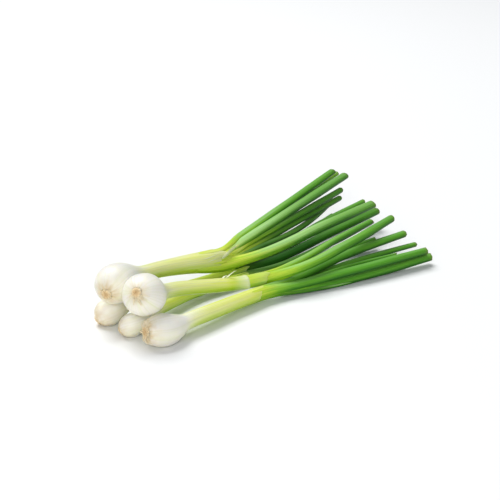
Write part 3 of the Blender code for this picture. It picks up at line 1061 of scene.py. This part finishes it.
# Each range below runs from one value to another, and then to what these two are stretched to.
# The green drifts along the broad streaks, and on the skin the fine ones deepen it
SKIN_DRIFT = (0.3, 0.7, -0.035, 0.035)
LEAF_DRIFT = (0.3, 0.7, -0.08, 0.08)
SKIN_STREAK = (0.35, 0.65, -1.0, 1.0)
SKIN_STREAK_DEPTH = 0.16
# From the upper side to the underside, which takes a greener colour darkened by painted shade
SKIN_UNDERSIDE_SHADE = (0.6, -0.6)
LEAF_UNDERSIDE_SHADE = (0.6, -0.4)
# Where the dry skin is warm, and how strongly pale and cut skin and cut leaf show
WARM_BLOTCH = (0.3, 0.65, 0.5, 1.0)
DRY_SKIN_SHARE = 0.6
CUT_SKIN_SHARE = 0.1
CUT_LEAF_SHARE = 0.7
# Veins show more on a green skin than on a white one
SKIN_VEINS_GREEN = (0.0, 0.2, 0.3, 0.85)
LEAF_VEINS_SHARE = 0.65
# A pale wax green lies in broad patches on green of a middling depth, and only on the upper side,
# # where it is also a painted highlight
WAX_HIGHLIGHT_UP = (0.5, 1.0)
BLOOM_PATCH = (0.3, 0.7, 0.3, 0.75)
BLOOM_FROM = (0.45, 0.65)
BLOOM_FADE = (0.75, 1.0, 1.0, 0.3)
# The painted highlight of the pale leaves lies on the upper side
PALE_HIGHLIGHT_UP = (0.0, 0.7)
# The root plate is lighter outwards and in its fine streaks
ROOT_OUT_SHARE = 0.55
ROOT_FINE_SHARE = 0.6

SKIN_ROUGHNESS = 0.36
LEAF_ROUGHNESS = 0.42
ROOT_ROUGHNESS = 0.8
SKIN_SHEEN = 0.4
LEAF_SHEEN = 0.16
# The strength of the relief, and its height in metres
SKIN_RELIEF = (0.2, 0.0004)
LEAF_RELIEF = (0.25, 0.0003)
ROOT_RELIEF = (0.6, 0.0006)
SKIN_GLOW = (0.35, (1.0, 0.85, 0.5), 0.003)
LEAF_GLOW = (0.05, (0.4, 1.0, 0.2), 0.001)


def skin_finish():
    """The bulb and its sheath: white, then pale green, with a greener underside darkened by painted shade.
    """
    made = Finish("onion_skin", SKIN_ROUGHNESS)
    fine = made.streaks(*SKIN_FINE)
    broad = made.streaks(*SKIN_BROAD)
    green = made.plus(made.kept("green"), made.spread(broad, *SKIN_DRIFT))
    streaked = made.times(made.spread(fine, *SKIN_STREAK), made.kept("green"))
    green = made.plus(green, made.times(streaked, SKIN_STREAK_DEPTH))
    top = made.ramp(green, PLANT_COLOURS)
    low = made.ramp(green, UNDERSIDE_GREEN_AND_SHADE)
    # The underside takes the darker ramp: its own greener colour with painted shade
    underside_and_shade = made.spread(made.side("Z"), *SKIN_UNDERSIDE_SHADE)
    colour = made.mix(underside_and_shade, top, low)
    warm = made.times(made.kept("warm"), made.spread(made.streaks(*SKIN_BLOTCH), *WARM_BLOTCH))
    colour = made.mix(warm, colour, STRAW)
    colour = made.mix(made.times(made.kept("pale"), DRY_SKIN_SHARE), colour, DRY_SKIN)
    colour = made.mix(made.times(made.kept("cut"), CUT_SKIN_SHARE), colour, CUT_SKIN)
    veins = made.ramp(fine, SKIN_VEINS)
    colour = made.mix(made.spread(made.kept("green"), *SKIN_VEINS_GREEN), colour, veins, "MULTIPLY")
    made.colour(colour)
    made.bump(fine, *SKIN_RELIEF)
    made.sheen(SKIN_SHEEN)
    made.glow(*SKIN_GLOW)
    return made.material


def leaf_finish():
    """The leaves: yellow-green feet and deep green blades, with painted shade underneath and deep in the
    bunch, and pale wax patches on the upper side that are also a painted highlight.
    """
    made = Finish("leaf_wax", LEAF_ROUGHNESS)
    fine = made.streaks(*LEAF_FINE)
    broad = made.streaks(*LEAF_BROAD)
    green = made.plus(made.kept("green"), made.spread(broad, *LEAF_DRIFT))
    top = made.ramp(green, PLANT_COLOURS)
    low = made.ramp(green, UNDERSIDE_GREEN_AND_SHADE)
    # The underside takes the darker ramp: its own greener colour with painted shade
    underside_and_shade = made.spread(made.side("Z"), *LEAF_UNDERSIDE_SHADE)
    colour = made.mix(underside_and_shade, top, low)
    # Wax patches on the upper side, which are also a painted highlight there
    wax_and_highlight = made.times(made.spread(made.side("Z"), *WAX_HIGHLIGHT_UP), made.spread(broad, *BLOOM_PATCH))
    wax_and_highlight = made.times(wax_and_highlight, made.spread(made.kept("green"), *BLOOM_FROM))
    wax_and_highlight = made.times(wax_and_highlight, made.spread(made.kept("green"), *BLOOM_FADE))
    colour = made.mix(wax_and_highlight, colour, WAX_AND_HIGHLIGHT_GREEN)
    # A highlight painted on the upper side of some leaves
    pale = made.times(made.kept("pale"), made.spread(made.side("Z"), *PALE_HIGHLIGHT_UP))
    colour = made.mix(pale, colour, PALE_HIGHLIGHT_GREEN)
    veins = made.ramp(fine, LEAF_VEINS)
    colour = made.mix(LEAF_VEINS_SHARE, colour, veins, "MULTIPLY")
    # Painted shade on leaves that lie deep in the bunch
    colour = made.mix(made.kept("deep"), colour, PAINTED_SHADE_GREEN)
    colour = made.mix(made.times(made.kept("cut"), CUT_LEAF_SHARE), colour, CUT_LEAF)
    made.colour(colour)
    made.bump(fine, *LEAF_RELIEF)
    made.sheen(LEAF_SHEEN)
    made.glow(*LEAF_GLOW)
    return made.material


def root_finish():
    """The cork of the root plate: darker in the middle, tan and straw at the rim."""
    made = Finish("root_cork", ROOT_ROUGHNESS)
    fine = made.streaks(*ROOT_FINE)
    spot = made.plus(made.times(made.kept("out"), ROOT_OUT_SHARE), made.times(fine, ROOT_FINE_SHARE))
    made.colour(made.ramp(spot, ROOT_COLOURS))
    made.bump(fine, *ROOT_RELIEF)
    return made.material


FLOOR_SIZE = 8
FLOOR_WHITE = (0.93, 0.935, 0.93)
FLOOR_ROUGHNESS = 0.9
FLOOR_SHEEN = 0.1
WORLD_BRIGHTNESS = 0.23
WORLD_COLOUR = (0.94, 0.98, 1.06)
# Each softbox faces the bunch: its place and width in metres, and its power in watts
Softbox = namedtuple("Softbox", "place width power")
SOFTBOXES = {
    "key": Softbox((0.0, 1.5, 3.1), 2.1, 106),
    "front": Softbox((-1.9, -1.7, 1.15), 1.4, 34),
}


def floor_and_light():
    deselect()
    bpy.ops.mesh.primitive_plane_add(size=FLOOR_SIZE, location=(0, 0, 0))
    floor = bpy.context.object
    floor.name = "floor"
    made = Finish("floor_white", FLOOR_ROUGHNESS)
    made.shader.inputs["Base Color"].default_value = (*FLOOR_WHITE, 1)
    made.sheen(FLOOR_SHEEN)
    floor.data.materials.append(made.material)
    world = bpy.data.worlds.new("studio")
    bpy.context.scene.world = world
    world.use_nodes = True
    backdrop = world.node_tree.nodes["Background"]
    backdrop.inputs["Color"].default_value = (*WORLD_COLOUR, 1)
    backdrop.inputs["Strength"].default_value = WORLD_BRIGHTNESS
    for name, box in SOFTBOXES.items():
        softbox(name, box)


def softbox(name, box):
    light = bpy.data.lights.new(name, "AREA")
    light.size = box.width
    light.energy = box.power
    lamp = bpy.data.objects.new(name, light)
    lamp.location = box.place
    lamp.rotation_euler = (-Vector(box.place)).to_track_quat("-Z", "Y").to_euler()
    bpy.context.scene.collection.objects.link(lamp)


# The camera stands 1 m from a point in the middle of the bunch, and looks down on it
AIM_PLACE = np.array([150, 5, 20])
AIM = Vector(AIM_PLACE - BUNCH_MIDDLE) * MM
CAMERA_FAR = 1.0
CAMERA_HEIGHT_ANGLE = math.radians(20)
CAMERA_SIDE_ANGLE = math.radians(47.5)
LENS = 93.2
SENSOR_WIDTH = 36


def camera():
    view = bpy.data.cameras.new("camera")
    view.lens = LENS
    view.sensor_width = SENSOR_WIDTH
    eye = bpy.data.objects.new("camera", view)
    level = math.cos(CAMERA_HEIGHT_ANGLE)
    back = Vector((-level * math.cos(CAMERA_SIDE_ANGLE), -level * math.sin(CAMERA_SIDE_ANGLE),
                   math.sin(CAMERA_HEIGHT_ANGLE)))
    eye.location = AIM + CAMERA_FAR * back
    eye.rotation_euler = back.to_track_quat("Z", "Y").to_euler()
    bpy.context.scene.collection.objects.link(eye)
    bpy.context.scene.camera = eye


SKIN = skin_finish()
LEAF = leaf_finish()
ROOT = root_finish()


def main():
    for number, (name, onion) in enumerate(ONIONS.items()):
        seed = ONION_SEED * (number + 1)
        mouth = bulb(name, onion, seed)
        greens(name, onion, seed, mouth)
        roots(name, onion, seed)
    floor_and_light()
    camera()
    bpy.context.scene.view_settings.view_transform = "Standard"


main()
